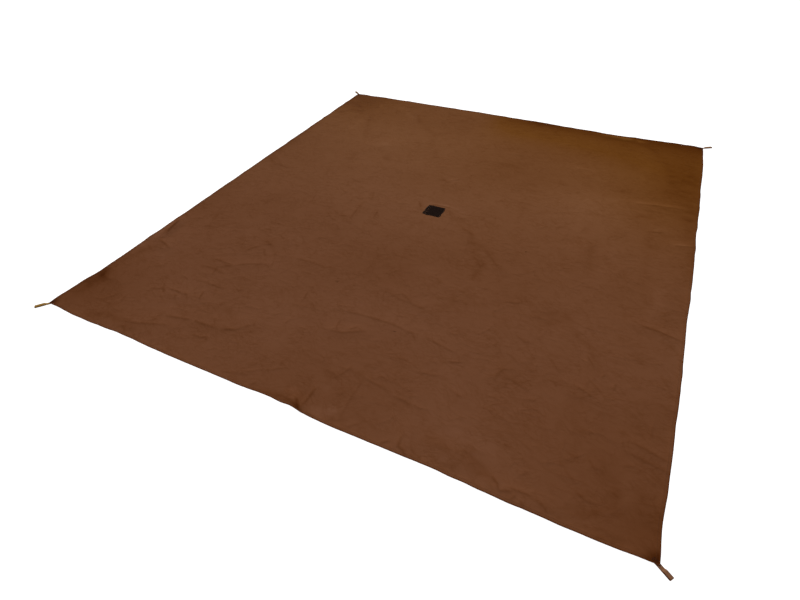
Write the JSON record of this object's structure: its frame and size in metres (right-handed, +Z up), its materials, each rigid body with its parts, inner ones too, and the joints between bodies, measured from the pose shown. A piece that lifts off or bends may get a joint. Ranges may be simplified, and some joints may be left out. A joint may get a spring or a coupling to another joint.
{
  "type": "tent groundsheet",
  "caption": "Thin rectangular coated cloth sheet spread flat, with a hemmed wavy edge, low raised folds, a square patch sewn on its middle and a webbing peg loop under each corner.",
  "frame": {"origin": "on the ground under the middle of the sheet", "axes": "+X runs to the right along the near edge, +Y runs from the near edge to the far edge, +Z is up out of the sheet"},
  "size_m": [2.9099, 3.1652, 0.0158],
  "materials": {
    "coated_cloth": "brown coated polyester with a soft sheen and a fine plain weave",
    "patch_cloth": "matt black reinforcing cloth with a close weave",
    "webbing": "khaki brown ribbed polyester webbing"
  },
  "bodies": {
    "root": {"groundsheet": "coated_cloth", "centre_patch": "patch_cloth", "loop_near_left": "webbing", "loop_near_right": "webbing", "loop_far_right": "webbing", "loop_far_left": "webbing"}
  },
  "joints": []
}
